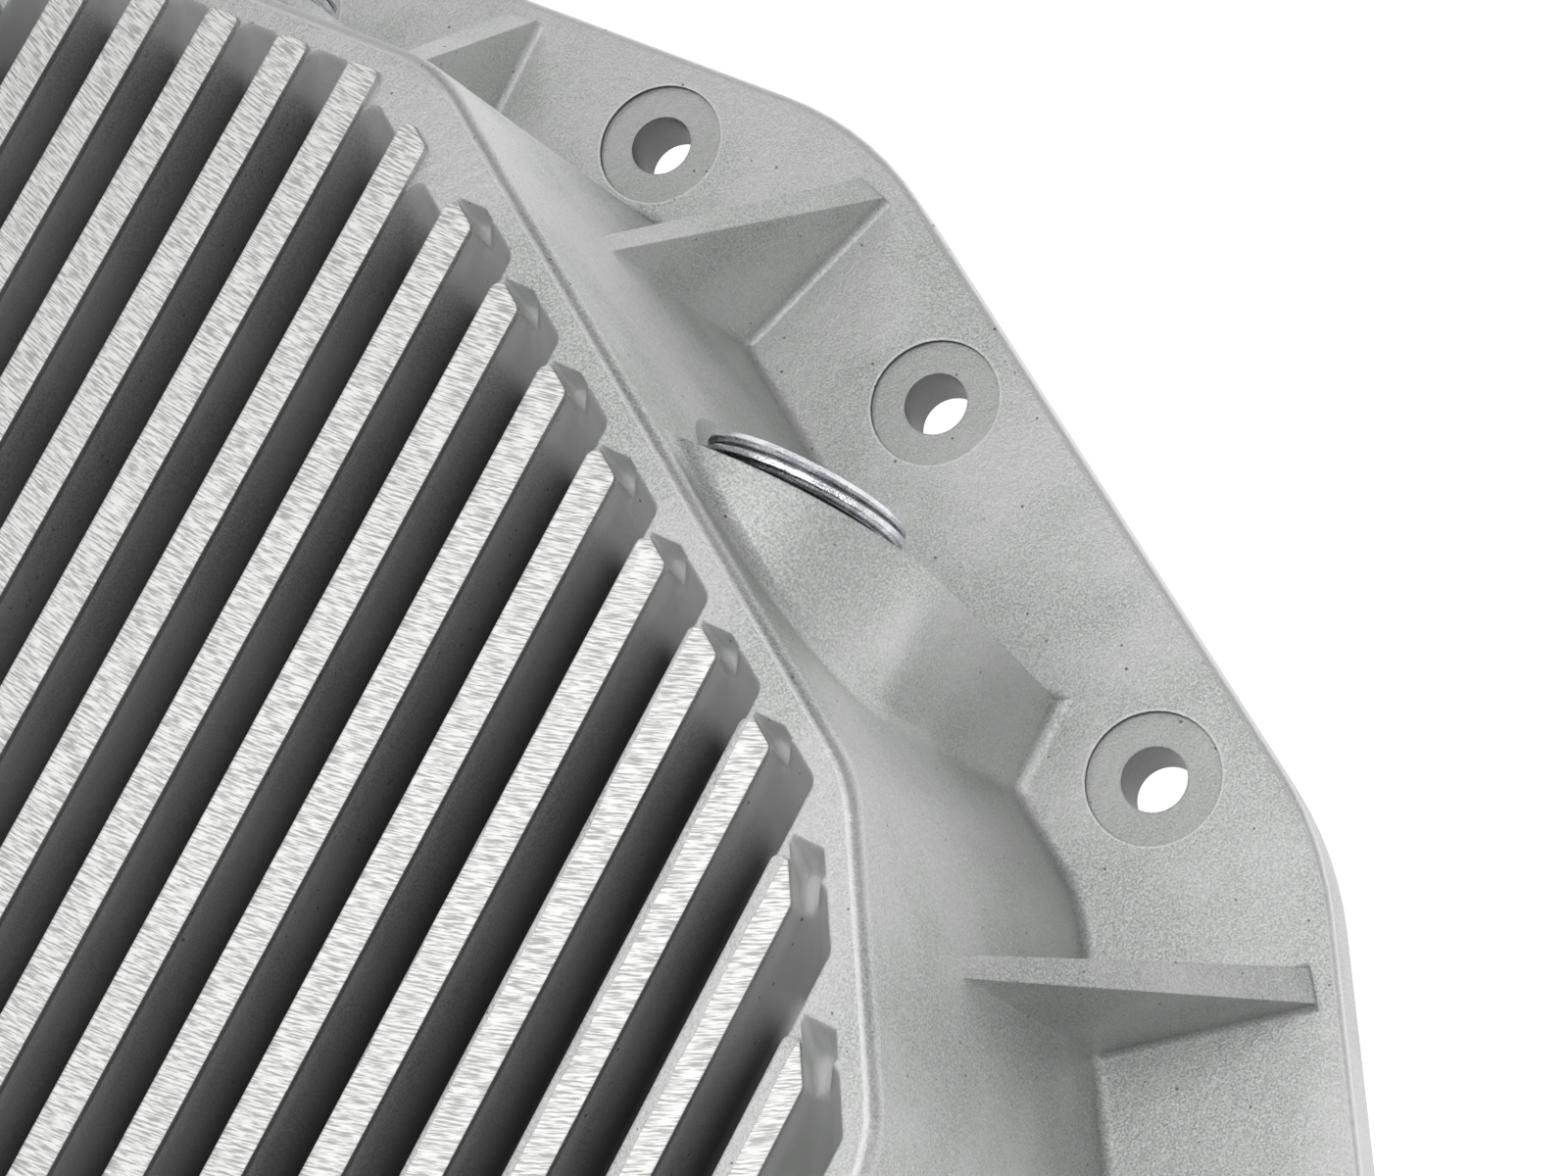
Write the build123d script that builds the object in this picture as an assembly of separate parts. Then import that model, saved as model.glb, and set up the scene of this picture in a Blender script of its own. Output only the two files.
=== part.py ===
"""Finned cast differential cover for a large 14-bolt axle, with its two threaded plugs.

The gasket face lies on z = 0 with the origin at the middle of the cover, and the dome rises to +Z.
X runs across the cooling fins, Y along them. The outline is a polygon with a mirrored lower half:
each side is given by the direction that it faces and its distance from the origin.
"""
from build123d import *
import os
from math import cos, hypot, radians, sin, tan

# Flange
FLANGE_T = 12.0            # thickness under the bolt heads
FLANGE_CORNER_R = 58.0
FLANGE_EDGE_R = 1.5        # cast round on the upper edge

# Sides of the upper half, from the right end round to the left end
SIDE_FACES = (0.0, 32.5, 57.5, 90.0, 140.0, 180.0)          # direction, degrees from +X
SIDE_OFFSETS = (175.6, 169.5, 159.1, 182.6, 203.5, 175.6)   # distance of each side from the origin
FIN_END_INSETS = (59.6, 59.7, 56.7, 45.8, 50.0, 59.6)       # flange edge to the line of the fin ends

# Bolts of the upper half; each has its mirror image in the lower half
BOLT_D = 10.8
SPOT_D = 22.0
SPOT_DEPTH = 0.8
BOLTS = ((159.0, 36.5), (107.4, 99.1), (44.1, 142.0), (-24.8, 166.3), (-106.0, 163.5),
         (-150.0, 104.0), (-159.0, 36.5))

# Dome
DOME_H = 85.0              # flange top to the cast rim
DOME_DRAFT = 7.2           # degrees
RIM_FLAT_W = 2.7           # flat cast strip round the finned field
RIM_EDGE_R = 2.5
RIM_CORNER_R = 24.0
FOOT_CORNER_R = 32.0
FOOT_FILLET_R = 2.0
WALL_T = 8.0
ROOF_T = 6.0               # metal under the floor of the grooves
CAVITY_CORNER_R = 14.0

# Fins
FIN_PITCH = 13.8
FIN_W = 5.8
FIN_PROUD = 1.2            # machined tops above the cast rim
GROOVE_DEPTH = 15.0
GROOVE_DRAFT = 3.0         # degrees
GROOVE_CORNER_R = 2.0
GROOVE_RUN_OUT = 13.0      # slope of the groove ends, measured along the groove
NOTCH_DEPTH = 4.0          # where the notch opens into the groove
NOTCH_RUN_OUT = 3.6        # slope down from the fin's inner corner, measured across the fin
NOTCH_LEAST_W = 0.5
FIN_TIP_R = 1.4

# Port bosses, each with its axis along Y: middle in X and the plane of the machined face
FILL_PORT = (55.1, 104.0)
DRAIN_PORT = (-82.0, 149.5)
PORT_AXIS_Z = 50.0         # above the flange top
PORT_R = 29.0
PORT_SIDE_LEAN = 4.0       # the sides stand out this much more at the flange
PORT_BODY_DEPTH = 26.0     # how far the boss runs back into the dome
PORT_BLEND_R = 3.0         # hollow fillet between the boss and the dome wall
PORT_FACE_LAND = 0.05      # left between that fillet and the boss's machined face
PORT_INNER_R = 23.0
PORT_INNER_LENGTH = 22.0
PORT_SEAT_R = 19.6         # machined seat round the plug
PORT_MOUTH_CHAMFER = 1.3

# Taper plugs
PLUG_D = 33.4              # at the port's machined face
PLUG_LENGTH = 24.0
PLUG_PROUD = 7.0
PLUG_TAPER = 1.0 / 16.0    # on the diameter
PLUG_FIT = 0.1             # clearance on the radius
THREAD_PITCH = 2.2
THREAD_DEPTH = 1.2
SOCKET_AF = 16.0           # hexagon across flats
SOCKET_DEPTH = 11.0
PLUG_END_CHAMFER = 1.0

# Gussets: foot on the dome wall, tip near the flange edge, both on the flange top
GUSSET_FOOT_T = 5.8        # thickness on the flange
GUSSET_DRAFT = 1.2         # degrees on each face
GUSSET_SLOPE = 1.2         # rise of the sloping edge for each unit of length
GUSSET_TIP_H = 1.5
GUSSET_FOOT_R = 1.4        # hollow fillet along the foot of each face
GUSSETS = (((117.8, 58.2), (145.5, 79.4)), ((5.8, 140.2), (16.3, 172.0)),
           ((-59.5, 150.0), (-60.6, 178.6)), ((-124.0, 121.0), (-139.8, 136.2)),
           ((-137.0, 70.0), (-167.5, 72.0)))

FLANGE_TOP = FLANGE_T
RIM_Z = FLANGE_TOP + DOME_H
FLOOR_Z = RIM_Z - GROOVE_DEPTH
CAVITY_TOP = FLOOR_Z - ROOF_T
PORT_Z = FLANGE_TOP + PORT_AXIS_Z

os.makedirs("parts", exist_ok=True)


def fin_end_offsets():
    """Distances of the fin-end line from the origin, one for each side."""
    return [edge - inset for edge, inset in zip(SIDE_OFFSETS, FIN_END_INSETS)]


def groove_end_offsets():
    """The fin-end line, carried outwards along X by the width of one fin."""
    return [off + FIN_W * abs(cos(radians(face))) for off, face in zip(fin_end_offsets(), SIDE_FACES)]


def grown(offsets, amount):
    return [off + amount for off in offsets]


def outline_points(offsets):
    """Corners of the polygon whose sides face SIDE_FACES at these distances, mirrored below."""
    faces = list(SIDE_FACES) + [-face for face in reversed(SIDE_FACES[1:-1])]
    distances = list(offsets) + list(reversed(offsets[1:-1]))
    points = []
    for i, face in enumerate(faces):
        j = (i + 1) % len(faces)
        c1, s1 = cos(radians(face)), sin(radians(face))
        c2, s2 = cos(radians(faces[j])), sin(radians(faces[j]))
        turn = c1 * s2 - s1 * c2
        points.append(((distances[i] * s2 - distances[j] * s1) / turn,
                       (distances[j] * c1 - distances[i] * c2) / turn))
    return points


def polygon(points):
    return make_face(Polyline(*points, close=True))


def both_ends(points):
    """The upper half of a plan and its mirror image, as one closed run of points."""
    return points + [(x, -y) for x, y in reversed(points)]


def outline(offsets, corner_r):
    """The polygon as a face on z = 0 with all its corners rounded."""
    face = polygon(outline_points(offsets))
    return fillet(face.vertices(), corner_r)


def at_height(sketch, z):
    return Pos(0, 0, z) * sketch


def fin_end_y(x):
    """Half length of the finned field at x: the lowest of the lines of its upper sides."""
    limits = []
    for off, face in zip(fin_end_offsets(), SIDE_FACES):
        c, s = cos(radians(face)), sin(radians(face))
        if s > 0.01:
            limits.append((off - c * x) / s)
        elif c * x > off:
            limits.append(0.0)
    return min(limits)


def dome_sketches(inward, z_low, z_high, corner_r_low, corner_r_high):
    """Outline of the drafted dome wall at two heights, moved inwards by a wall thickness."""
    rim = grown(groove_end_offsets(), RIM_FLAT_W + RIM_EDGE_R - inward)
    lean = tan(radians(DOME_DRAFT))
    low = outline(grown(rim, (RIM_Z - z_low) * lean), corner_r_low)
    high = outline(grown(rim, (RIM_Z - z_high) * lean), corner_r_high)
    return at_height(low, z_low), at_height(high, z_high)


def make_flange():
    flange = extrude(outline(SIDE_OFFSETS, FLANGE_CORNER_R), FLANGE_T)
    top_edges = flange.edges().filter_by(lambda e: e.center().Z > FLANGE_T - 0.01)
    return fillet(top_edges, FLANGE_EDGE_R)


def make_dome():
    low, high = dome_sketches(0.0, 0.0, RIM_Z, FOOT_CORNER_R, RIM_CORNER_R)
    dome = loft([low, high], ruled=True)
    rim_edges = dome.edges().filter_by(lambda e: e.center().Z > RIM_Z - 0.01)
    return fillet(rim_edges, RIM_EDGE_R)


def make_cavity():
    low, high = dome_sketches(WALL_T, 0.0, CAVITY_TOP, FOOT_CORNER_R - WALL_T, RIM_CORNER_R - WALL_T)
    cavity = loft([low, high], ruled=True)
    roof_edges = cavity.edges().filter_by(lambda e: e.center().Z > CAVITY_TOP - 0.01)
    return fillet(roof_edges, CAVITY_CORNER_R)


def port_profile():
    """A round-topped boss in the XZ plane whose sides spread a little down to the flange."""
    round_top = Pos(0, PORT_Z) * Circle(PORT_R)
    half_foot = PORT_R + PORT_SIDE_LEAN
    body = polygon([(-half_foot, FLANGE_TOP / 2), (-PORT_R, PORT_Z), (PORT_R, PORT_Z),
                    (half_foot, FLANGE_TOP / 2)])
    return round_top + body


def port_plane(port):
    """Local X is along +X, local Y is up and the normal runs back into the dome."""
    return Plane(origin=(port[0], port[1], 0), x_dir=(1, 0, 0), z_dir=(0, -1, 0))


def port_axis_plane(port, y):
    return Plane(origin=(port[0], y, PORT_Z), x_dir=(1, 0, 0), z_dir=(0, -1, 0))


def make_port(port):
    return extrude(port_plane(port) * port_profile(), PORT_BODY_DEPTH)


def make_port_inner(port):
    return extrude(port_axis_plane(port, port[1]) * Circle(PORT_INNER_R), PORT_INNER_LENGTH)


def plug_radius(depth):
    """Radius of the taper at a depth behind the port's machined face."""
    return PLUG_D / 2 - depth * PLUG_TAPER / 2


def taper_bore(port, radius_shift):
    """The tapered hole for a plug, through the wall."""
    length = PORT_INNER_LENGTH + PORT_BODY_DEPTH
    mouth = port_axis_plane(port, port[1]) * Circle(plug_radius(0.0) + radius_shift)
    back = port_axis_plane(port, port[1] - length) * Circle(plug_radius(length) + radius_shift)
    return loft([mouth, back])


def port_cuts(port):
    """Tapered bore, chamfered mouth and the seat machined into the wall round the plug."""
    seat = extrude(port_axis_plane(port, port[1]) * Circle(PORT_SEAT_R), -2 * PLUG_LENGTH)
    wide = port_axis_plane(port, port[1]) * Circle(plug_radius(0) + PLUG_FIT + PORT_MOUTH_CHAMFER)
    narrow = port_axis_plane(port, port[1] - PORT_MOUTH_CHAMFER) * Circle(plug_radius(0) + PLUG_FIT)
    return [taper_bore(port, PLUG_FIT), seat, loft([wide, narrow])]


def gusset_section(rise):
    """Section across a gusset: drafted sides with a hollow fillet at the foot of each.

    Each fillet's circle dips a little below the flange's face, so that it always cuts that face.
    """
    lean = tan(radians(GUSSET_DRAFT))
    half = GUSSET_FOOT_T / 2
    low, high = half + lean * FLANGE_T / 2, half - lean * rise
    sides = polygon([(-low, -FLANGE_T / 2), (low, -FLANGE_T / 2), (high, rise), (-high, rise)])
    reach = half + GUSSET_FOOT_R
    foot = polygon([(-reach, -FLANGE_T / 2), (reach, -FLANGE_T / 2), (reach, GUSSET_FOOT_R),
                    (-reach, GUSSET_FOOT_R)])
    for side in (1, -1):
        foot -= Pos(side * reach, GUSSET_FOOT_R) * Circle(GUSSET_FOOT_R * (1 + lean))
    return sides + foot


def make_gusset(foot, tip):
    """Triangular web standing on the flange, buried in the wall behind its foot."""
    length = hypot(tip[0] - foot[0], tip[1] - foot[1])
    buried = WALL_T
    along = Vector(tip[0] - foot[0], tip[1] - foot[1], 0).normalized()
    side_plane = Plane(origin=(foot[0], foot[1], FLANGE_TOP), x_dir=along,
                       z_dir=along.cross(Vector(0, 0, 1)))
    rise = GUSSET_TIP_H + GUSSET_SLOPE * (length + buried)
    web = extrude(side_plane * polygon([(-buried, -FLANGE_T / 2), (length, -FLANGE_T / 2),
                                        (length, GUSSET_TIP_H), (-buried, rise)]), GUSSET_FOOT_T, both=True)
    end_plane = Plane(origin=Vector(foot[0], foot[1], FLANGE_TOP) - along * buried, z_dir=along,
                      x_dir=Vector(0, 0, 1).cross(along))
    return web & extrude(end_plane * gusset_section(rise), length + buried)


def groove_end_y(x, side):
    """The fin-end line carried outwards by a fin's width, as half length of the groove at x."""
    return fin_end_y(x - side * FIN_W)


def fin_sketch(x):
    """Plan of one fin, its ends parallel to the rim with small rounded corners."""
    fin = polygon(both_ends([(edge, fin_end_y(edge)) for edge in (x - FIN_W / 2, x + FIN_W / 2)]))
    return fillet(fin.vertices(), FIN_TIP_R)


def groove_solid(x, side):
    """Groove on one side (1 or -1) of the fin at x, with drafted flanks and sloping ends."""
    near = x + side * FIN_W / 2
    far = x + side * (FIN_PITCH - FIN_W / 2)
    lean = side * GROOVE_DEPTH * tan(radians(GROOVE_DRAFT))
    top = [(edge, groove_end_y(edge, side)) for edge in (near, far)]
    floor = [(edge, groove_end_y(edge, side) - GROOVE_RUN_OUT) for edge in (near + lean, far - lean)]
    groove = loft([at_height(polygon(both_ends(floor)), FLOOR_Z),
                   at_height(polygon(both_ends(top)), RIM_Z)], ruled=True)
    lower_edges = groove.edges().filter_by(lambda e: e.center().Z < RIM_Z - 0.01)
    return fillet(lower_edges, GROOVE_CORNER_R)


def notch_solids(x, side):
    """Shallow notch before each end of the fin at x, from its inner corner out to the groove."""
    inner, outer = x - side * FIN_W / 2, x + side * FIN_W / 2
    if fin_end_y(inner) - fin_end_y(outer) < NOTCH_LEAST_W:
        return []
    start = inner + side * FIN_TIP_R / 2
    stop = outer + side * GROOVE_CORNER_R
    square_y = fin_end_y(inner)

    def plan(start_x, pulled_in):
        return polygon([(start_x, fin_end_y(start_x)), (stop, fin_end_y(stop)),
                        (stop, groove_end_y(stop, side) - pulled_in), (outer, square_y - pulled_in),
                        (start_x, square_y - pulled_in)])

    low_start = start + side * NOTCH_RUN_OUT
    half_drop = (square_y - fin_end_y(low_start)) / 2
    notch = loft([at_height(plan(low_start, half_drop), RIM_Z - NOTCH_DEPTH),
                  at_height(plan(start, 0.0), RIM_Z)], ruled=True)
    return [notch, mirror(notch, Plane.XZ)]


def fin_positions():
    """Middles of the fins that fit between the two ends of the field."""
    right = int((fin_end_offsets()[0] - FIN_W / 2) // FIN_PITCH)
    left = int((fin_end_offsets()[-1] - FIN_W / 2) // FIN_PITCH)
    return [n * FIN_PITCH for n in range(-left, right + 1)]


def make_grooves():
    """A groove outside each fin, one on both sides of the middle fin, and the end notches."""
    grooves = []
    for x in fin_positions():
        for side in (1, -1):
            if side * x >= 0:
                grooves.append(groove_solid(x, side))
                grooves.extend(notch_solids(x, side))
    return grooves


def make_fin_tops():
    return [extrude(at_height(fin_sketch(x), RIM_Z), FIN_PROUD) for x in fin_positions()]


def bolt_places():
    return [(x, side * y) for x, y in BOLTS for side in (1, -1)]


def make_bolt_cuts():
    cuts = []
    for x, y in bolt_places():
        cuts.append(Pos(x, y, FLANGE_T / 2) * Cylinder(BOLT_D / 2, 2 * FLANGE_T))
        spot = Cylinder(SPOT_D / 2, DOME_H, align=(Align.CENTER, Align.CENTER, Align.MIN))
        cuts.append(Pos(x, y, FLANGE_TOP - SPOT_DEPTH) * spot)
    return cuts


def inset(point):
    """Distance of a point inside the flange's edge."""
    return min(off - cos(radians(face)) * point.X - sin(radians(face)) * abs(point.Y)
               for off, face in zip(SIDE_OFFSETS, SIDE_FACES))


def all_gussets():
    mirrored = [((fx, -fy), (tx, -ty)) for (fx, fy), (tx, ty) in GUSSETS]
    return list(GUSSETS) + mirrored


def edges_on_flange(body):
    return body.edges().filter_by(
        lambda e: abs(e.center().Z - FLANGE_TOP) < 0.01 and inset(e.center()) > SPOT_D / 2)


def on_port_side(edge):
    """True for an edge above the flange where the side of a boss meets the dome."""
    middle = edge.position_at(0.5)
    up = middle.Z - PORT_Z
    spread = -up * PORT_SIDE_LEAN / (PORT_Z - FLANGE_TOP / 2)
    for x, y in (FILL_PORT, DRAIN_PORT):
        across = abs(middle.X - x)
        off_side = hypot(across, up) - PORT_R if up >= 0 else across - PORT_R - spread
        behind_face = y - PORT_BODY_DEPTH < middle.Y < y - 0.01
        if abs(off_side) < 0.02 and behind_face and middle.Z > FLANGE_TOP + 0.01:
            return True
    return False


def wall_y(x, z):
    """Half width of the drafted dome wall at x and height z: the lowest of its upper sides."""
    shift = RIM_FLAT_W + RIM_EDGE_R + (RIM_Z - z) * tan(radians(DOME_DRAFT))
    limits = []
    for off, face in zip(grown(groove_end_offsets(), shift), SIDE_FACES):
        if sin(radians(face)) > 0.01:
            limits.append((off - cos(radians(face)) * x) / sin(radians(face)))
    return min(limits)


def port_blend_r():
    """The blend's radius, limited by the flat wall above the bosses and beside their faces."""
    rooms = [PORT_BLEND_R, RIM_Z - RIM_EDGE_R - PORT_Z - PORT_R]
    for x, y in (FILL_PORT, DRAIN_PORT):
        beside = [y - wall_y(x + side * PORT_R, PORT_Z) - PORT_FACE_LAND for side in (1, -1)]
        rooms += [room for room in beside if room > 0]
    return min(rooms)


def foot_fillet_r():
    """The foot fillet, no wider than the blends that it meets."""
    return min(FOOT_FILLET_R, port_blend_r()) if port_blend_r() > 0 else FOOT_FILLET_R


def make_cover():
    ports = (FILL_PORT, DRAIN_PORT)
    body = make_flange() + make_dome() + [make_port(port) for port in ports]
    if port_blend_r() > 0:
        body = fillet(body.edges().filter_by(on_port_side), port_blend_r())
    body = fillet(edges_on_flange(body), foot_fillet_r())
    body += [make_gusset(foot, tip) for foot, tip in all_gussets()]
    body -= make_cavity()
    body += [make_port_inner(port) for port in ports]
    body -= make_grooves()
    body += make_fin_tops()
    for port in ports:
        body -= port_cuts(port)
    return body - make_bolt_cuts()


def make_plug(port):
    """Taper plug in its port, turned about the port's axis, with thread ridges where it stands out."""
    inner_end = PLUG_LENGTH - PLUG_PROUD
    profile = [(0.0, -PLUG_PROUD), (plug_radius(-PLUG_PROUD) - PLUG_END_CHAMFER, -PLUG_PROUD)]
    crest = -PLUG_PROUD + PLUG_END_CHAMFER
    while crest + THREAD_PITCH < PORT_MOUTH_CHAMFER:
        root = crest + THREAD_PITCH / 2
        profile.append((plug_radius(crest), crest))
        profile.append((plug_radius(root) - THREAD_DEPTH, root))
        crest += THREAD_PITCH
    profile.append((plug_radius(crest), crest))
    profile.append((plug_radius(inner_end), inner_end - PLUG_END_CHAMFER))
    profile.append((plug_radius(inner_end) - PLUG_END_CHAMFER, inner_end))
    profile.append((0.0, inner_end))
    plane = Plane(origin=(port[0], port[1], PORT_Z), x_dir=(1, 0, 0), z_dir=(0, 0, 1))
    section = polygon([(r, -depth) for r, depth in profile])
    plug = revolve(plane * section, Axis((port[0], port[1], PORT_Z), (0, 1, 0)))
    hexagon = RegularPolygon(SOCKET_AF / 2, 6, major_radius=False)
    socket_plane = port_axis_plane(port, port[1] + PLUG_PROUD)
    return plug - extrude(socket_plane * hexagon, SOCKET_DEPTH)


export_step(make_cover(), "parts/cover.step")
export_step(make_plug(FILL_PORT), "parts/fill_plug.step")
export_step(make_plug(DRAIN_PORT), "parts/drain_plug.step")
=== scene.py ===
# %% [markdown]
# # Finned cover
# The CAD part comes in as a fixed frame.
# This script gives the casting its skin and its milled fins, and cuts real threads on the two plugs.
# It then sets up the photograph's camera, a white floor and soft light from above.

# %% Load the frame
import bpy
import numpy as np
from mathutils import Matrix, Vector


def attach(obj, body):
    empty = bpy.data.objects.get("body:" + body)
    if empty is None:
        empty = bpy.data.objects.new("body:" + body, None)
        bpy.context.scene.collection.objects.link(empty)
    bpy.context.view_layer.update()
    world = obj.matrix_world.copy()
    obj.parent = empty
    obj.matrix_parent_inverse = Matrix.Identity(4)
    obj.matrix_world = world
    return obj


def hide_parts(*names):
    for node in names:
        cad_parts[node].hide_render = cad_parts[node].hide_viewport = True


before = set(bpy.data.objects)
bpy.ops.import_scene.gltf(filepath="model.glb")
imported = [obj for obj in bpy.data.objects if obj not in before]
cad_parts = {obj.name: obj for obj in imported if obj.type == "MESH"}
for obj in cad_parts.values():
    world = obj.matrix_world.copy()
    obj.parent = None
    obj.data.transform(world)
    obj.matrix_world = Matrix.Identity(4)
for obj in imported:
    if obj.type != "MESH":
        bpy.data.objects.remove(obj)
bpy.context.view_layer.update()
print("nodes:", sorted(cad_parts))

# %% [markdown]
# ## Sizes
# All lengths here are in millimetres, because every texture below is easier to read that way.
# The fins stand at an even pitch along X and run along Y.
# Each side of the rim has its direction in degrees from X, and the distance of the fin ends from the
# origin along that direction.
# The bolts and sides are those of the upper half, and the lower half is its mirror image.

# %% Sizes from the CAD part
FIN_PITCH = 13.8
FIN_W = 5.8
RIM_Z = 97.0
FIN_TOP_Z = 98.2
FLOOR_Z = 82.0              # floors of the grooves
SIDE_FACES = (0.0, 32.5, 57.5, 90.0, 140.0, 180.0)
FIN_END_OFFSETS = (116.0, 109.8, 102.4, 136.8, 153.5, 116.0)
GROOVE_OVERRUN = 5.7        # the grooves run on past the fin ends

FLANGE_Z = 12.0
SPOT_Z = 11.2               # machined faces round the bolt holes
SPOT_R = 11.0
HOLE_R = 5.4
BOLTS = ((159.0, 36.5), (107.4, 99.1), (44.1, 142.0), (-24.8, 166.3), (-106.0, 163.5),
         (-150.0, 104.0), (-159.0, 36.5))

PORT_Z = 62.0
MOUTH_R = 18.1              # chamfered mouth of a plug's hole
PORTS = {"fill_plug": (55.1, 104.0), "drain_plug": (-82.0, 149.5)}
print("fins every", FIN_PITCH, "mm, plugs at", PORTS)

# %% [markdown]
# ## Camera
# The view was solved from the photograph: the fins, the flange edges and the bolt holes fix it.
# The three axes are the camera's right, down and forward directions in the part's frame.

# %% Camera
CAMERA_PLACE = Vector((0.32165, -0.00443, 0.6170))
CAMERA_RIGHT = Vector((0.83198, 0.45914, -0.31145))
CAMERA_DOWN = Vector((0.36019, -0.87397, -0.32623))
CAMERA_FORWARD = Vector((-0.42198, 0.15924, -0.89251))
SENSOR_WIDTH = 36.0
FOCAL_PIXELS = 4221.1
PHOTO_WIDTH = 1600

camera = bpy.data.objects.new("camera", bpy.data.cameras.new("camera"))
camera.data.sensor_width = SENSOR_WIDTH
camera.data.lens = FOCAL_PIXELS / PHOTO_WIDTH * SENSOR_WIDTH
camera.data.clip_start = 0.01
axes = Matrix((CAMERA_RIGHT, -CAMERA_DOWN, -CAMERA_FORWARD)).transposed()
camera.matrix_world = Matrix.Translation(CAMERA_PLACE) @ axes.to_4x4()
bpy.context.scene.collection.objects.link(camera)
bpy.context.scene.camera = camera
print("lens", round(camera.data.lens, 2), "mm")

# %% [markdown]
# ## Light
# Five soft square lamps point at the middle of the part, each given as place, size and watts.
# The large one overhead does most of the work, and the fin tops mirror the one beside it.
# A low one on the right gives the boss its highlight.

# %% Lamps
def soft_lamp(name, place, target, size, power):
    """A square area lamp at place, in metres, turned to face target, with its power in watts."""
    lamp = bpy.data.lights.new(name, "AREA")
    lamp.size = size
    lamp.energy = power
    holder = bpy.data.objects.new(name, lamp)
    holder.location = place
    holder.rotation_euler = (Vector(target) - Vector(place)).to_track_quat("-Z", "Y").to_euler()
    bpy.context.scene.collection.objects.link(holder)
    return holder


LAMPS = {
    "overhead": ((0.22, 0.20, 1.35), 0.9, 3.8),
    "mirrored": ((-0.45, 0.05, 1.15), 0.7, 1.7),
    "key": ((0.70, 0.42, 1.10), 0.5, 0.6),
    "low": ((1.15, 0.28, 0.55), 0.35, 1.1),
    "back": ((-0.90, 0.90, 0.80), 0.6, 0.8),
}
LAMP_TARGET = (0.0, 0.0, 0.05)
for lamp_name, (lamp_place, lamp_size, power) in LAMPS.items():
    soft_lamp(lamp_name, lamp_place, LAMP_TARGET, lamp_size, power)

bpy.context.scene.view_settings.view_transform = "Standard"

# %% [markdown]
# ## Shader helpers
# Every material is a net of small nodes.
# These helpers add one node at a time and hand back its output, so a formula reads like a formula.

# %% Shader helpers
def put(tree, value, socket):
    """Links an output to the socket, or writes a plain value into it."""
    if isinstance(value, bpy.types.NodeSocket):
        tree.links.new(value, socket)
    else:
        socket.default_value = value


def add_node(tree, kind, inputs, output=0, **settings):
    """One shader node with its settings and inputs; gives back one of its outputs."""
    node = tree.nodes.new(kind)
    for key, value in settings.items():
        setattr(node, key, value)
    for key, value in inputs.items():
        put(tree, value, node.inputs[key])
    return node.outputs[output]


def calc(tree, operation, a, b=0.0):
    """One step of arithmetic on outputs or numbers."""
    return add_node(tree, "ShaderNodeMath", {0: a, 1: b}, operation=operation)


def times(tree, a, b):
    """The product of two outputs or numbers."""
    return calc(tree, "MULTIPLY", a, b)


def step(tree, value, low, high):
    """Rises smoothly from 0 at low to 1 at high, or falls where low is the larger."""
    if low > high:
        return calc(tree, "SUBTRACT", 1.0, step(tree, value, high, low))
    return add_node(tree, "ShaderNodeMapRange", {"Value": value, "From Min": low, "From Max": high},
                    interpolation_type="SMOOTHSTEP")


def band(tree, value, rise_from, rise_to, fall_from, fall_to):
    """1 from rise_to to fall_from, and 0 below rise_from and above fall_to."""
    return times(tree, step(tree, value, rise_from, rise_to), step(tree, value, fall_to, fall_from))


def blend(tree, factor, a, b):
    """Mixes two numbers."""
    return add_node(tree, "ShaderNodeMix", {0: factor, 2: a, 3: b}, data_type="FLOAT")


def blend_colour(tree, factor, a, b):
    """Mixes two colours, each an output or three numbers."""
    full = [colour if isinstance(colour, bpy.types.NodeSocket) else (*colour, 1.0) for colour in (a, b)]
    return add_node(tree, "ShaderNodeMix", {0: factor, 6: full[0], 7: full[1]}, output=2,
                    data_type="RGBA")


def noise(tree, vector, scale, detail=2.0, roughness=0.5):
    """Soft noise from 0 to 1, with scale in waves to the millimetre."""
    return add_node(tree, "ShaderNodeTexNoise", {"Vector": vector, "Scale": scale, "Detail": detail,
                                                 "Roughness": roughness})


def new_material(name):
    """A new material with its tree, its shader and the place on the piece in millimetres."""
    material = bpy.data.materials.new(name)
    material.use_nodes = True
    tree = material.node_tree
    place = add_node(tree, "ShaderNodeTexCoord", {}, output=3)
    place_mm = add_node(tree, "ShaderNodeVectorMath", {0: place, 3: 1000.0}, operation="SCALE")
    return material, tree, tree.nodes["Principled BSDF"], place_mm


def parts_of(tree, vector):
    """The three components of a vector."""
    split = tree.nodes.new("ShaderNodeSeparateXYZ")
    tree.links.new(vector, split.inputs[0])
    return split.outputs


print("helpers: numbers, colours, masks and noise")

# %% [markdown]
# ## World
# The world fills the shadows with a little plain light.
# Mirror rays see a brighter world, so that the bare metal shows pale surroundings from every side.

# %% World
WORLD_FILL = 0.06
WORLD_IN_MIRRORS = 0.32

world = bpy.data.worlds.new("plain")
world.use_nodes = True
bpy.context.scene.world = world
tree = world.node_tree
background = tree.nodes["Background"]
mirror_ray = tree.nodes.new("ShaderNodeLightPath").outputs["Is Glossy Ray"]
background.inputs["Color"].default_value = (1.0, 1.0, 1.0, 1.0)
put(tree, blend(tree, mirror_ray, WORLD_FILL, WORLD_IN_MIRRORS), background.inputs["Strength"])
print("world strength:", WORLD_FILL, "and in mirrors", WORLD_IN_MIRRORS)

# %% [markdown]
# ## The casting's places
# The casting is one material whose recipe changes with the place on the part.
# A mask is 1 where a recipe holds and 0 elsewhere, and the product of two masks is where both hold.
# The first masks tell level faces from upright ones.

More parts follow.
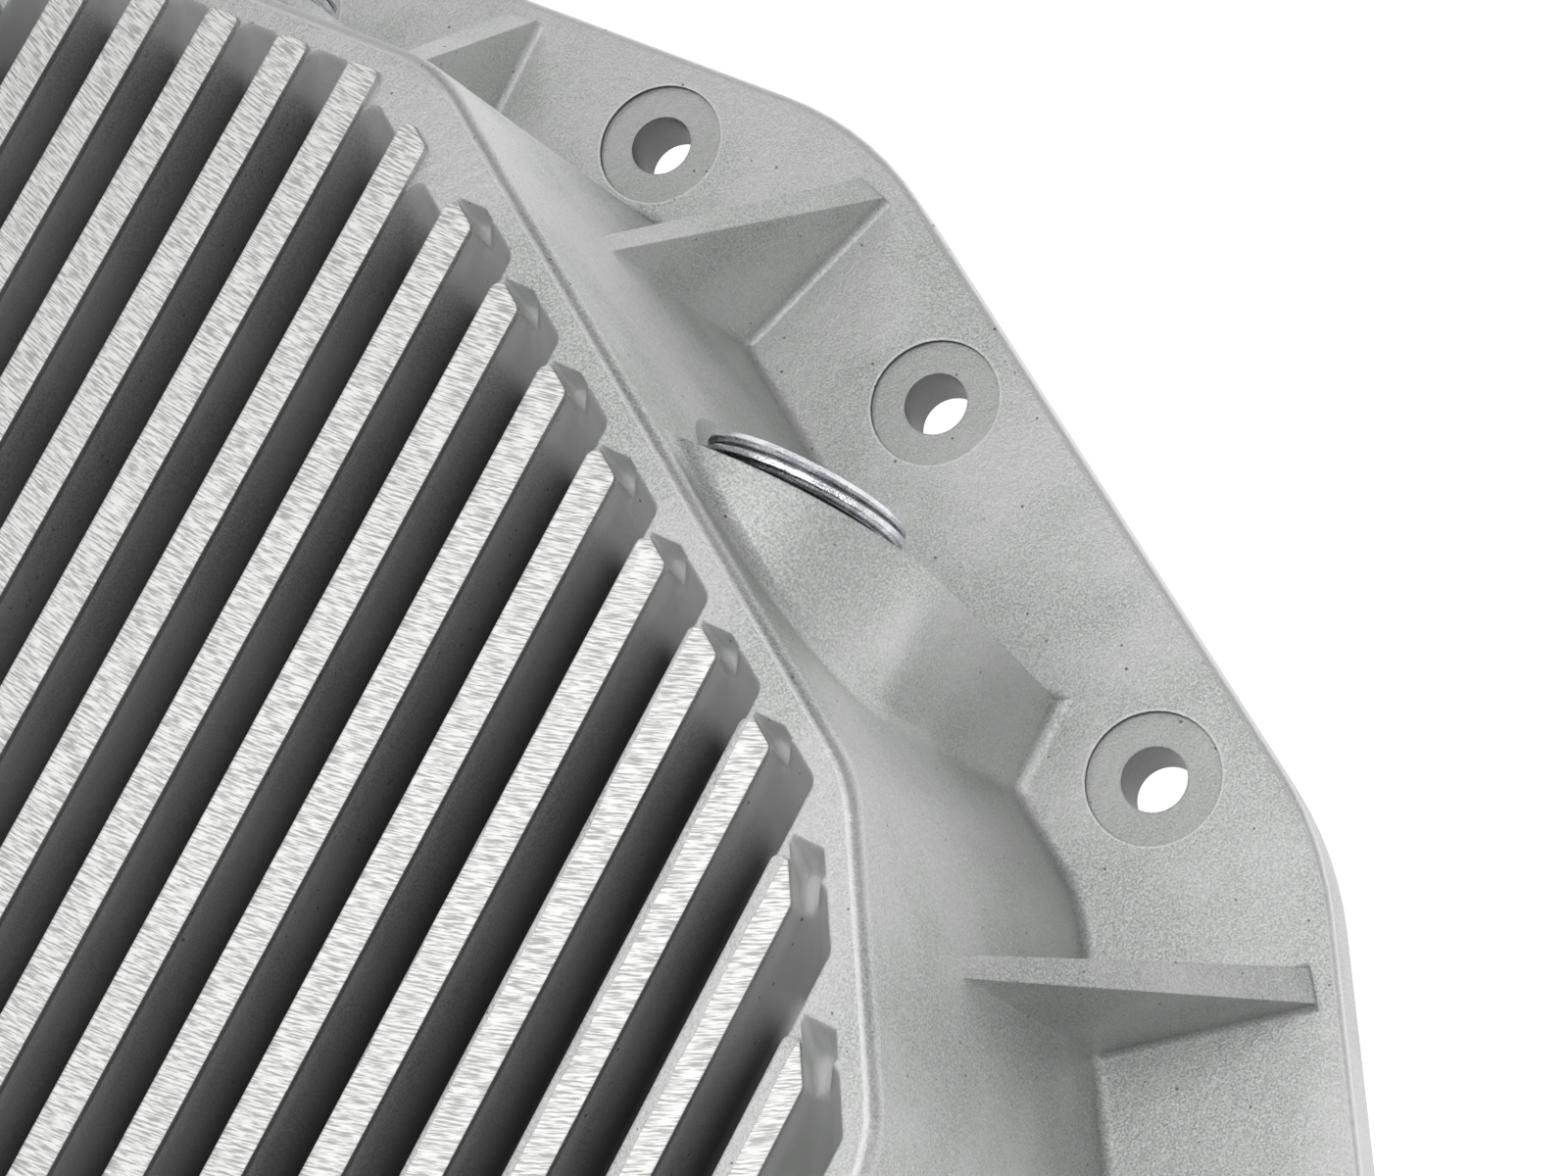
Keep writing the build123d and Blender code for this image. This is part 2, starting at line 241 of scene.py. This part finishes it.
# %% Casting material
casting, tree, shader, place = new_material("cast_aluminium")
x, y, z = parts_of(tree, place)
upper_y = calc(tree, "ABSOLUTE", y)
facing = parts_of(tree, add_node(tree, "ShaderNodeNewGeometry", {}, output=1))
facing_up = step(tree, facing[2], 0.85, 0.97)
upright = step(tree, facing[2], 0.5, 0.3)
print("casting material started")

# %% [markdown]
# ### Milled fin tops
# The cutter cleaned the fin tops, but on the later fins it missed a strip along one edge.
# The strip gets wider along X, and its edge wanders a little.

# %% Mask of the milled tops
MISSED_FROM_X = 30.0
MISSED_TO_X = 118.0
MISSED_MOST = 2.4
MISSED_WANDER = 1.1
MISSED_SPARED = 0.3         # taken off, so that the first fins lose nothing

fin_number = calc(tree, "ROUND", calc(tree, "DIVIDE", x, FIN_PITCH))
across_fin = calc(tree, "SUBTRACT", x, times(tree, fin_number, FIN_PITCH))
wander = times(tree, calc(tree, "SUBTRACT", noise(tree, place, 0.12), 0.5), MISSED_WANDER)
missed = calc(tree, "ADD", times(tree, step(tree, x, MISSED_FROM_X, MISSED_TO_X), MISSED_MOST), wander)
missed = calc(tree, "SUBTRACT", missed, MISSED_SPARED)
strip_edge = calc(tree, "SUBTRACT", calc(tree, "ADD", across_fin, FIN_W / 2), missed)
on_top = times(tree, step(tree, z, FIN_TOP_Z - 0.15, FIN_TOP_Z - 0.05), facing_up)
milled = times(tree, on_top, step(tree, strip_edge, 0.0, 0.12))
print("milled tops above z =", round(FIN_TOP_Z - 0.1, 2))

# %% [markdown]
# ### Grooves
# A place is inside the finned field when it is inside the line of the groove ends on every side.
# The reach towards a side is x times the cosine of its direction plus the size of y times the sine.
# The grooves get painted shade deep down, and painted light on their sloping ends.

# %% Masks of the grooves
# Painted light on the groove ends and painted shade deep in the grooves fade in over these ranges.
RUN_OUT = (9.0, 5.0)        # the pale ends fade in between these distances before the fin ends
DEEP = (13.0, 2.0)          # the dark fades in between these heights over the floor

inside_ends = 1.0
near_end = 0.0
for face, offset in zip(SIDE_FACES, FIN_END_OFFSETS):
    along_x, along_y = float(np.cos(np.radians(face))), float(np.sin(np.radians(face)))
    reach = calc(tree, "ADD", times(tree, x, along_x), times(tree, upper_y, along_y))
    inside = calc(tree, "LESS_THAN", reach, offset + GROOVE_OVERRUN)
    inside_ends = times(tree, inside_ends, inside)
    near_end = calc(tree, "MAXIMUM", near_end, step(tree, reach, offset - RUN_OUT[0], offset - RUN_OUT[1]))
below_rim = band(tree, z, FLOOR_Z - 1.0, FLOOR_Z, RIM_Z - 0.3, RIM_Z - 0.02)
in_groove = times(tree, below_rim, inside_ends)
# Painted light: the sloping groove ends are lightened.
groove_end = times(tree, in_groove, near_end)
# Painted shade: the grooves darken towards their floors.
deep = times(tree, in_groove, step(tree, z, FLOOR_Z + DEEP[0], FLOOR_Z + DEEP[1]))
# Painted highlight on the rounded edge of the rim.
rim_edge_highlight = band(tree, z, RIM_Z - 0.30, RIM_Z - 0.10, RIM_Z - 0.03, RIM_Z - 0.004)
print("sides of the field:", len(SIDE_FACES))

# %% [markdown]
# ### Bolt holes and the flange's edge
# The distance to the nearest bolt finds the hole, its machined face and the ring round that face. The
# walls of the holes and of the steps get painted shade, and the ring and the flange's rounded edge get a
# painted highlight.

# %% Masks of the flange
bolt_reach = 1000.0
on_plan = add_node(tree, "ShaderNodeCombineXYZ", {0: x, 1: upper_y})
for bolt_x, bolt_y in BOLTS:
    apart = add_node(tree, "ShaderNodeVectorMath", {0: on_plan, 1: (bolt_x, bolt_y, 0.0)}, output=1,
                     operation="DISTANCE")
    bolt_reach = calc(tree, "MINIMUM", bolt_reach, apart)
# Painted shade on the walls of the holes and of the steps round their machined faces.
hole_wall = times(tree, step(tree, bolt_reach, HOLE_R + 0.3, HOLE_R + 0.1), upright)
spot_face = times(tree, band(tree, z, SPOT_Z - 0.1, SPOT_Z - 0.03, SPOT_Z + 0.03, SPOT_Z + 0.1), facing_up)
spot_step = times(tree, band(tree, z, SPOT_Z + 0.02, SPOT_Z + 0.05, FLANGE_Z - 0.02, FLANGE_Z + 0.05),
                  upright)
# Painted highlight on a thin ring round each machined face.
spot_ring_highlight = times(tree, band(tree, bolt_reach, SPOT_R, SPOT_R + 0.1, SPOT_R + 0.3, SPOT_R + 0.5),
                 step(tree, z, FLANGE_Z + 0.15, FLANGE_Z + 0.1))
# Painted highlight on the flange's rounded edge, away from the bolts.
flange_edge_highlight = times(tree, band(tree, z, FLANGE_Z - 1.4, FLANGE_Z - 1.2, FLANGE_Z - 0.1, FLANGE_Z - 0.01),
                     step(tree, bolt_reach, SPOT_R + 0.3, SPOT_R + 0.6))
print("bolt holes in the upper half:", len(BOLTS))

# %% [markdown]
# ### Mouths of the plug holes
# The chamfer round each plug gets a black painted shade, as the shadow in a narrow gap.

# %% Mask of the mouths
MOUTH_DEPTH = 1.5

mouth_shade = 0.0
across_port = add_node(tree, "ShaderNodeCombineXYZ", {0: x, 2: z})
for port_x, face_y in PORTS.values():
    from_axis = add_node(tree, "ShaderNodeVectorMath", {0: across_port, 1: (port_x, 0.0, PORT_Z)},
                         output=1, operation="DISTANCE")
    from_face = calc(tree, "ABSOLUTE", calc(tree, "SUBTRACT", y, face_y))
    mouth = times(tree, step(tree, from_axis, MOUTH_R + 0.25, MOUTH_R + 0.05),
                  calc(tree, "LESS_THAN", from_face, MOUTH_DEPTH))
    mouth_shade = calc(tree, "MAXIMUM", mouth_shade, mouth)
print("plug mouths:", len(PORTS))

# %% [markdown]
# ## Cast skin
# The skin has a fine blasted grain, soft patches and scattered pits.
# Each cell of a Voronoi pattern holds one pit or none, by the cell's random colour.
# The masks then lay the other tones over it, one after another: the machined faces and pits, and the
# painted shade and painted highlights.

# %% Colour of the skin
PIT_CELLS = 0.42            # cells to the millimetre
PIT_RARITY = 0.62           # share of the cells without a pit
PIT_GROWTH = 0.34

grain = noise(tree, place, 2.6, detail=3.0, roughness=0.7)
coarse = noise(tree, place, 0.55, detail=3.0)
patches = noise(tree, place, 0.035, detail=2.0, roughness=0.6)
pit_cells = tree.nodes.new("ShaderNodeTexVoronoi")
tree.links.new(place, pit_cells.inputs["Vector"])
pit_cells.inputs["Scale"].default_value = PIT_CELLS
pit_chance = parts_of(tree, pit_cells.outputs["Color"])[0]
pit_radius = times(tree, calc(tree, "SUBTRACT", pit_chance, PIT_RARITY), PIT_GROWTH)
pit_radius = times(tree, pit_radius, calc(tree, "ADD", coarse, 0.5))
pits = calc(tree, "GREATER_THAN", pit_radius, pit_cells.outputs["Distance"])

skin = blend_colour(tree, step(tree, patches, 0.35, 0.65), (0.39, 0.405, 0.395), (0.60, 0.605, 0.60))
skin = blend_colour(tree, step(tree, grain, 0.30, 0.72), skin, (0.78, 0.79, 0.78))
tones_and_painted_light = [
    # painted shade deep in the grooves
    (deep, 0.90, (0.10, 0.102, 0.10)),
    # painted light on the sloping groove ends
    (groove_end, 0.85, (0.85, 0.86, 0.85)),
    (spot_face, 0.50, (0.46, 0.47, 0.46)),
    # painted shade on the hole walls and step walls
    (calc(tree, "MAXIMUM", hole_wall, spot_step), 1.0, (0.15, 0.15, 0.15)),
    # painted highlight round the machined faces
    (spot_ring_highlight, 0.60, (0.95, 0.96, 0.95)),
    # painted shade in the chamfered mouths of the plug holes
    (mouth_shade, 1.0, (0.03, 0.03, 0.03)),
    # painted highlight on the flange's rounded edge
    (flange_edge_highlight, 0.70, (0.95, 0.96, 0.95)),
    (pits, 0.75, (0.12, 0.12, 0.12)),
    # painted highlight on the rim's rounded edge
    (rim_edge_highlight, 0.60, (0.95, 0.95, 0.95)),
]
for mask, share, tone in tones_and_painted_light:
    skin = blend_colour(tree, times(tree, mask, share), skin, tone)
print("tones laid over the skin:", len(tones_and_painted_light))

# %% [markdown]
# ## Milled lines
# The cutter's lines run across the fins as wide arcs: y less a small share of x squared stays the same
# along one line.
# A noise that is stretched along the lines gives them.

# %% Colour of the milled tops
ARC = 0.0024
LINES_ALONG = 0.3           # waves to the millimetre
LINES_ACROSS = 2.8

feed = calc(tree, "SUBTRACT", y, times(tree, times(tree, x, x), ARC))
cut = add_node(tree, "ShaderNodeCombineXYZ", {0: times(tree, x, LINES_ALONG),
                                              1: times(tree, feed, LINES_ACROSS)})
lines = noise(tree, cut, 1.0, detail=2.0, roughness=0.6)
milled_tone = blend_colour(tree, step(tree, lines, 0.36, 0.60), (0.50, 0.50, 0.495), (1.0, 1.0, 0.99))
colour = blend_colour(tree, milled, skin, milled_tone)
print("lines bend by", ARC, "times x squared")

# %% [markdown]
# ## Surface of the casting
# Grain and pits also give the skin its relief, and the lines give it to the fin tops.
# The Bevel node rounds the look of sharp edges, most of all at the groove ends.

# %% Shader of the casting
EDGE_ROUND = 0.0005         # metres, as are the next two
GROOVE_END_ROUND = 0.0022
BUMP_DISTANCE = 0.001
SKIN_ROUGHNESS = 0.42

skin_height = calc(tree, "ADD", times(tree, grain, 0.10), times(tree, coarse, 0.12))
skin_height = calc(tree, "SUBTRACT", skin_height, times(tree, pits, 0.15))
height = blend(tree, milled, skin_height, times(tree, lines, 0.06))
edge_radius = blend(tree, groove_end, EDGE_ROUND, GROOVE_END_ROUND)
edge_rounding = add_node(tree, "ShaderNodeBevel", {"Radius": edge_radius}, samples=2)
bumped = add_node(tree, "ShaderNodeBump", {"Strength": 0.9, "Distance": BUMP_DISTANCE, "Height": height,
                                           "Normal": edge_rounding})
skin_metallic = blend(tree, in_groove, 0.85, 0.3)

put(tree, colour, shader.inputs["Base Color"])
put(tree, SKIN_ROUGHNESS, shader.inputs["Roughness"])
put(tree, blend(tree, milled, skin_metallic, 0.9), shader.inputs["Metallic"])
put(tree, bumped, shader.inputs["Normal"])

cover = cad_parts["cover"]
cover.data.materials.clear()
cover.data.materials.append(casting)
print("casting nodes:", len(tree.nodes))

# %% [markdown]
# ## Plugs
# Each CAD plug is replaced by a turned surface of the same size that carries a real helical thread.
# The surface is a grid of rings: the hexagon socket, the outer face, the thread and the inner end.

# %% Thread and socket
PLUG_LENGTH = 24.0
PLUG_PROUD = 7.0            # stands out of the boss's machined face
PLUG_RADIUS = 16.7          # at that face
PLUG_TAPER = 1.0 / 32.0     # on the radius
THREAD_PITCH = 2.2
THREAD_DEPTH = 1.0
THREAD_START = 0.45         # in turns
CREST_SHARE = 0.40
FLANK_SHARE = 0.55
NICK_DEPTH = 0.16
END_CHAMFER = 1.0
SHADOW_REACH = 2.8                  # shaded strip of the thread beside the boss's face
SOCKET_APOTHEM = 8.0
SOCKET_DEPTH = 11.0
SOCKET_CHAMFER = 0.6
AROUND = 180
ALONG = 240


def thread_surface(angle, depth):
    """Radius of the thread and how deep it lies below the crest, from 0 to 1.

    The phase is the depth in turns minus the angle in turns, so the crest climbs as a right-hand
    helix. A triangle wave of that phase, flattened at both ends, gives the ridge. Small nicks come
    where the product of two sine waves passes a limit. The radius is the taper's radius less the
    ridge's depth and the nicks, cut by a 45 degree cone at each end of the plug.
    """
    phase = np.mod(depth / THREAD_PITCH - angle / (2 * np.pi) + THREAD_START, 1.0)
    below = np.clip((np.abs(2 * phase - 1) - CREST_SHARE) / FLANK_SHARE, 0, 1)
    waves = np.sin(7 * angle + 2.3 * depth) * np.sin(12 * angle - 1.7 * depth)
    nicks = NICK_DEPTH * np.clip(waves - 0.55, 0, 1)
    radius = PLUG_RADIUS - (depth - PLUG_PROUD) * PLUG_TAPER - THREAD_DEPTH * below - nicks
    start_cone = PLUG_RADIUS + PLUG_PROUD * PLUG_TAPER - END_CHAMFER + depth
    end_cone = PLUG_RADIUS - PLUG_LENGTH * PLUG_TAPER - END_CHAMFER + PLUG_LENGTH - depth
    return np.minimum(radius, np.minimum(start_cone, end_cone)), below


def hexagon_radius(angle):
    """Distance from the axis to a hexagon's side: the apothem over the cosine from its middle."""
    sixth = np.pi / 3
    return SOCKET_APOTHEM / np.cos(np.mod(angle + sixth, sixth) - sixth / 2)


def plug_grid():
    """Angles of the columns, and radius, depth and shade of every point, as rings by angles.

    The shade is how deep a point lies below the crest, and 2 in the strip beside the boss's face.
    """
    angle = np.linspace(0, 2 * np.pi, AROUND, endpoint=False)[None, :]
    depth = np.linspace(0, PLUG_LENGTH, ALONG)[:, None]
    thread, below = thread_surface(angle, depth)
    hexagon = hexagon_radius(angle)
    even = np.ones_like(angle)
    # Painted shadow: the strip of thread beside the boss's face is marked to be painted black.
    gap_shadow = 2.0 * ((depth > PLUG_PROUD - SHADOW_REACH) & (depth < PLUG_PROUD + SHADOW_REACH))
    radius = np.vstack([hexagon, hexagon, hexagon + SOCKET_CHAMFER, thread])
    depths = np.vstack([SOCKET_DEPTH * even, SOCKET_CHAMFER * even, 0 * even, depth * even])
    shade = np.vstack([0.5 * even, 0.2 * even, 0 * even, np.maximum(below, gap_shadow) * even])
    return angle, radius, depths, shade


angle, radius, depths, shade = plug_grid()
print("plug grid:", radius.shape[0], "rings by", radius.shape[1], "angles")

# %% [markdown]
# ## From grid to mesh
# A point of ring i and column j has the number i times the columns plus j.
# Each quad joins two neighbours on one ring with the two below them, and a fan closes each end.

# %% Plug meshes
def plug_faces(rings):
    """Quads between the rings, and a fan to the centre point at each end."""
    ring = np.arange(rings - 1)[:, None] * AROUND
    here = np.arange(AROUND)[None, :]
    after = (here + 1) % AROUND
    quads = np.stack([ring + here, ring + after, ring + AROUND + after, ring + AROUND + here], axis=-1)
    last = (rings - 1) * AROUND
    first_centre = np.full(AROUND, rings * AROUND)
    first_fan = np.stack([first_centre, after[0], here[0]], axis=-1)
    last_fan = np.stack([first_centre + 1, last + here[0], last + after[0]], axis=-1)
    return quads.reshape(-1, 4).tolist() + first_fan.tolist() + last_fan.tolist()


def make_plug(name, port, material):
    """The rings placed round the port's axis as one mesh, with the shade as an attribute."""
    angle, radius, depth, shade = plug_grid()
    face_y = port[1] + PLUG_PROUD
    points = np.stack([port[0] + radius * np.cos(angle), face_y - depth,
                       PORT_Z + radius * np.sin(angle)], axis=-1).reshape(-1, 3)
    centres = np.array([[port[0], face_y - SOCKET_DEPTH, PORT_Z], [port[0], face_y - PLUG_LENGTH, PORT_Z]])
    mesh = bpy.data.meshes.new(name)
    mesh.from_pydata((np.vstack([points, centres]) / 1000).tolist(), [], plug_faces(radius.shape[0]))
    mesh.materials.append(material)
    mesh.shade_smooth()
    mesh.set_sharp_from_angle(angle=0.7)
    root = mesh.attributes.new("root", "FLOAT", "POINT")
    root.data.foreach_set("value", np.append(shade.ravel(), [0.5, 0.0]).astype(np.float32))
    piece = bpy.data.objects.new(name, mesh)
    bpy.context.scene.collection.objects.link(piece)
    return piece


print("faces on a plug:", len(plug_faces(radius.shape[0])))

# %% [markdown]
# ## Plated steel
# The plating is bright with soft smudges, with painted shade in the roots of the thread and a black
# painted shadow in the gap.

# %% Steel material
steel, tree, shader, place = new_material("plated_steel")
root = add_node(tree, "ShaderNodeAttribute", {}, output=2, attribute_name="root")
smudges = noise(tree, place, 0.35, detail=4.0, roughness=0.6)
scuffs = noise(tree, place, 2.2, detail=2.0)
plating_and_shade = blend_colour(tree, step(tree, smudges, 0.35, 0.65), (0.70, 0.72, 0.75), (0.90, 0.92, 0.95))
# Painted shade in the roots of the thread.
plating_and_shade = blend_colour(tree, step(tree, root, 0.6, 1.0), plating_and_shade, (0.22, 0.22, 0.23))
# Painted shadow, black, in the gap beside the boss's face.
plating_and_shade = blend_colour(tree, step(tree, root, 1.2, 1.8), plating_and_shade, (0.02, 0.02, 0.02))
put(tree, plating_and_shade, shader.inputs["Base Color"])
put(tree, 1.0, shader.inputs["Metallic"])
put(tree, calc(tree, "ADD", times(tree, scuffs, 0.2), 0.16), shader.inputs["Roughness"])
put(tree, add_node(tree, "ShaderNodeBump", {"Strength": 0.5, "Distance": 0.0002, "Height": scuffs}),
    shader.inputs["Normal"])
print("steel nodes:", len(tree.nodes))

# %% [markdown]
# ## Plugs in place
# Each threaded plug takes the place of its CAD node and stays with the cover.

# %% Place the plugs
for node_name, port in PORTS.items():
    piece = make_plug(node_name + "_threads", port, steel)
    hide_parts(node_name)
    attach(piece, "root")
    print(piece.name, "has", len(piece.data.polygons), "faces")

# %% [markdown]
# ## Floor
# The floor is white for the camera and in reflections, and still takes the part's soft shadow.

# %% Floor
FLOOR_GLOW = 0.95
FLOOR_HALF = 6.0            # metres
FLOOR_DROP = 0.0005         # below the gasket face, in metres

floor_material, tree, shader, place = new_material("white_floor")
light_path = tree.nodes.new("ShaderNodeLightPath").outputs
seen = calc(tree, "MAXIMUM", light_path["Is Camera Ray"], light_path["Is Glossy Ray"])
seen = calc(tree, "MAXIMUM", seen, light_path["Is Transmission Ray"])
put(tree, (0.35, 0.35, 0.35, 1.0), shader.inputs["Base Color"])
put(tree, 1.0, shader.inputs["Roughness"])
put(tree, (1.0, 1.0, 1.0, 1.0), shader.inputs["Emission Color"])
put(tree, times(tree, seen, FLOOR_GLOW), shader.inputs["Emission Strength"])

corners = [(FLOOR_HALF * a, FLOOR_HALF * b, 0.0) for a, b in ((-1, -1), (1, -1), (1, 1), (-1, 1))]
floor_mesh = bpy.data.meshes.new("floor")
floor_mesh.from_pydata(corners, [], [(0, 1, 2, 3)])
floor_mesh.materials.append(floor_material)
floor = bpy.data.objects.new("floor", floor_mesh)
floor.location.z = -FLOOR_DROP
bpy.context.scene.collection.objects.link(floor)
print("floor at z =", -FLOOR_DROP)
